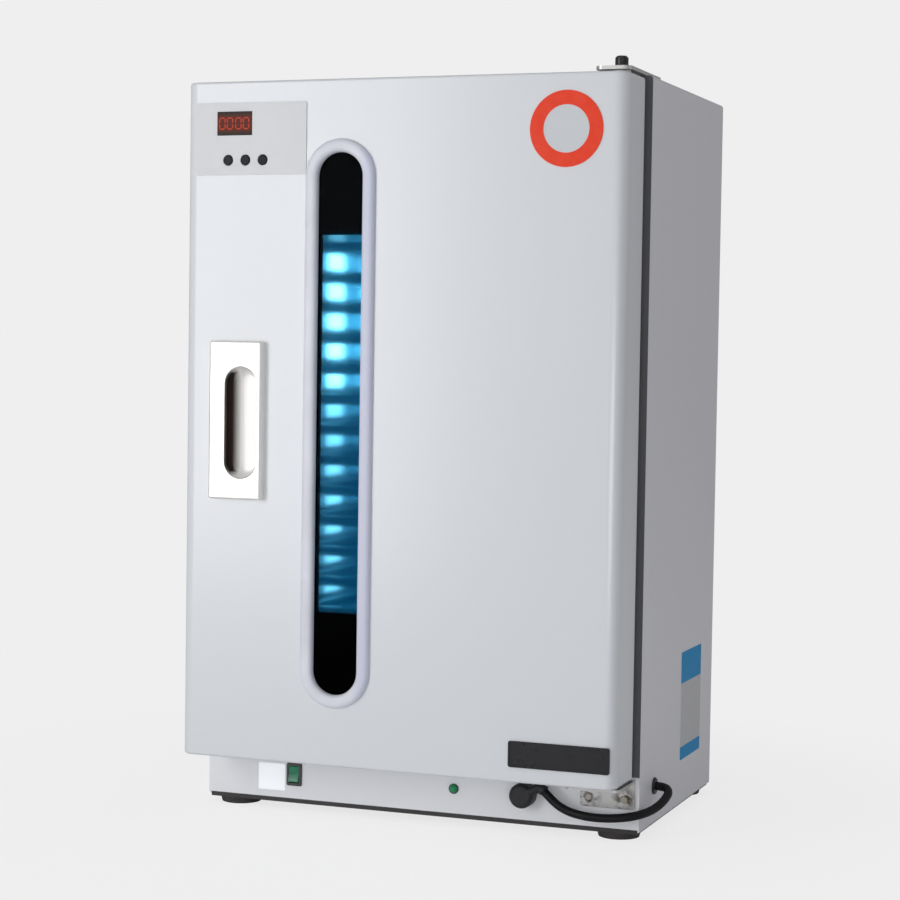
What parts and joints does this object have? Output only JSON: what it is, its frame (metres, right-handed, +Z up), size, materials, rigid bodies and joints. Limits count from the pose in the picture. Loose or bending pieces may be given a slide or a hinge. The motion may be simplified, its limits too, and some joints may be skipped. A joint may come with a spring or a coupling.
{
  "type": "uv sterilizer",
  "caption": "White bench-top cabinet with a hinged front door, tall slot window lit blue, flush pull, control panel and sliding trays between ultraviolet lamps",
  "frame": {"origin": "on the bench under the middle of the cabinet and its door, between the feet; the link cable that stands out at the right is left out of the middle", "axes": "+Z up, -Y towards the user in front of the door, +X to the right as seen from the front, where the door's hinges are"},
  "size_m": [0.4324, 0.327, 0.671],
  "materials": {
    "body_paint": "gloss powder coat",
    "door_paint": "high gloss",
    "liner_paint": "satin",
    "pan_black": "satin",
    "chamber_steel": "mirror polished",
    "rack_steel": "satin",
    "tray_steel": "polished",
    "lamp_tube": "clear, lit",
    "socket_white": "semi gloss",
    "hinge_steel": "satin",
    "pin_black": "black oxide",
    "screw_steel": "satin",
    "switch_black": "satin",
    "rocker_green": "gloss, translucent",
    "led_green": "gloss, translucent",
    "gland_black": "satin",
    "cable_black": "satin",
    "inlet_black": "satin",
    "ballast_metal": "gloss",
    "sensor_white": "satin",
    "foot_rubber": "matte",
    "seal_rubber": "matte",
    "bezel_white": "gloss",
    "window_glass": "polished",
    "shroud_black": "matte",
    "pull_chrome": "satin chrome",
    "panel_grey": "satin film",
    "display_red": "gloss, tinted",
    "board_green": "satin",
    "plate_black": "gloss",
    "badge_red": "gloss",
    "bush_white": "satin",
    "button_black": "gloss"
  },
  "bodies": {
    "cabinet": {"cabinet_shell": "body_paint", "plinth_panel": "door_paint", "base_pan": "pan_black", "rear_panel": "body_paint", "chamber_liner": "chamber_steel", "rack_left": "rack_steel", "rack_right": "rack_steel", "lamp_left": "lamp_tube", "lamp_right": "lamp_tube", "lamp_sockets": "socket_white", "top_hinge_plate": "hinge_steel", "top_hinge_pin": "pin_black", "bottom_hinge_bracket": "hinge_steel", "bottom_hinge_pin": "hinge_steel", "cabinet_screws": "screw_steel", "switch_frame": "switch_black", "indicator_led": "led_green", "cable_gland": "gland_black", "link_cable": "cable_black", "side_grommet": "gland_black", "power_inlet": "inlet_black", "ballast": "ballast_metal", "terminal_block": "socket_white", "door_sensor": "sensor_white", "foot_front_left": "foot_rubber", "foot_front_right": "foot_rubber", "foot_rear_left": "foot_rubber", "foot_rear_right": "foot_rubber"},
    "door": {"door_skin": "door_paint", "door_inner_panel": "liner_paint", "door_seal": "seal_rubber", "window_bezel": "bezel_white", "window_glass": "window_glass", "window_shroud": "shroud_black", "door_pull": "pull_chrome", "control_panel": "panel_grey", "display_window": "display_red", "control_board": "board_green", "name_plate": "plate_black", "door_badge": "badge_red", "top_hinge_bush": "bush_white", "bottom_hinge_bush": "bush_white", "sensor_magnet": "sensor_white"},
    "rocker": {"switch_rocker": "rocker_green"},
    "key_left": {"button_left": "button_black"},
    "key_middle": {"button_middle": "button_black"},
    "key_right": {"button_right": "button_black"},
    "shelf_01": {"tray_01": "tray_steel"},
    "shelf_02": {"tray_02": "tray_steel"},
    "shelf_03": {"tray_03": "tray_steel"},
    "shelf_04": {"tray_04": "tray_steel"},
    "shelf_05": {"tray_05": "tray_steel"},
    "shelf_06": {"tray_06": "tray_steel"},
    "shelf_07": {"tray_07": "tray_steel"},
    "shelf_08": {"tray_08": "tray_steel"},
    "shelf_09": {"tray_09": "tray_steel"},
    "shelf_10": {"tray_10": "tray_steel"},
    "shelf_11": {"tray_11": "tray_steel"},
    "shelf_12": {"tray_12": "tray_steel"},
    "shelf_13": {"tray_13": "tray_steel"}
  },
  "joints": [
    {"name": "door_hinge", "type": "hinge", "parent": "cabinet", "child": "door", "pos_m": [0.19, -0.128, 0.356], "axis": [0, 0, 1], "range_deg": [0, 110]},
    {"name": "power_rocker", "type": "hinge", "parent": "cabinet", "child": "rocker", "pos_m": [-0.12, -0.088, 0.0325], "axis": [1, 0, 0], "range_deg": [0, 18]},
    {"name": "press_left", "type": "slide", "parent": "door", "child": "key_left", "axis": [0, 1, 0], "range_m": [0, 0.001], "stiffness_N_per_m": 300},
    {"name": "press_middle", "type": "slide", "parent": "door", "child": "key_middle", "axis": [0, 1, 0], "range_m": [0, 0.001], "stiffness_N_per_m": 300},
    {"name": "press_right", "type": "slide", "parent": "door", "child": "key_right", "axis": [0, 1, 0], "range_m": [0, 0.001], "stiffness_N_per_m": 300},
    {"name": "slide_01", "type": "slide", "parent": "cabinet", "child": "shelf_01", "axis": [0, -1, 0], "range_m": [0, 0.14]},
    {"name": "slide_02", "type": "slide", "parent": "cabinet", "child": "shelf_02", "axis": [0, -1, 0], "range_m": [0, 0.14]},
    {"name": "slide_03", "type": "slide", "parent": "cabinet", "child": "shelf_03", "axis": [0, -1, 0], "range_m": [0, 0.14]},
    {"name": "slide_04", "type": "slide", "parent": "cabinet", "child": "shelf_04", "axis": [0, -1, 0], "range_m": [0, 0.14]},
    {"name": "slide_05", "type": "slide", "parent": "cabinet", "child": "shelf_05", "axis": [0, -1, 0], "range_m": [0, 0.14]},
    {"name": "slide_06", "type": "slide", "parent": "cabinet", "child": "shelf_06", "axis": [0, -1, 0], "range_m": [0, 0.14]},
    {"name": "slide_07", "type": "slide", "parent": "cabinet", "child": "shelf_07", "axis": [0, -1, 0], "range_m": [0, 0.14]},
    {"name": "slide_08", "type": "slide", "parent": "cabinet", "child": "shelf_08", "axis": [0, -1, 0], "range_m": [0, 0.14]},
    {"name": "slide_09", "type": "slide", "parent": "cabinet", "child": "shelf_09", "axis": [0, -1, 0], "range_m": [0, 0.14]},
    {"name": "slide_10", "type": "slide", "parent": "cabinet", "child": "shelf_10", "axis": [0, -1, 0], "range_m": [0, 0.14]},
    {"name": "slide_11", "type": "slide", "parent": "cabinet", "child": "shelf_11", "axis": [0, -1, 0], "range_m": [0, 0.14]},
    {"name": "slide_12", "type": "slide", "parent": "cabinet", "child": "shelf_12", "axis": [0, -1, 0], "range_m": [0, 0.14]},
    {"name": "slide_13", "type": "slide", "parent": "cabinet", "child": "shelf_13", "axis": [0, -1, 0], "range_m": [0, 0.14]}
  ],
  "couplings": [
    {"joint": "slide_01", "follows": "door_hinge", "m_per_rad": 0.0729},
    {"joint": "slide_02", "follows": "door_hinge", "m_per_rad": 0.0729},
    {"joint": "slide_03", "follows": "door_hinge", "m_per_rad": 0.0729},
    {"joint": "slide_04", "follows": "door_hinge", "m_per_rad": 0.0729},
    {"joint": "slide_05", "follows": "door_hinge", "m_per_rad": 0.0729},
    {"joint": "slide_06", "follows": "door_hinge", "m_per_rad": 0.0729},
    {"joint": "slide_07", "follows": "door_hinge", "m_per_rad": 0.0729},
    {"joint": "slide_08", "follows": "door_hinge", "m_per_rad": 0.0729},
    {"joint": "slide_09", "follows": "door_hinge", "m_per_rad": 0.0729},
    {"joint": "slide_10", "follows": "door_hinge", "m_per_rad": 0.0729},
    {"joint": "slide_11", "follows": "door_hinge", "m_per_rad": 0.0729},
    {"joint": "slide_12", "follows": "door_hinge", "m_per_rad": 0.0729},
    {"joint": "slide_13", "follows": "door_hinge", "m_per_rad": 0.0729}
  ]
}
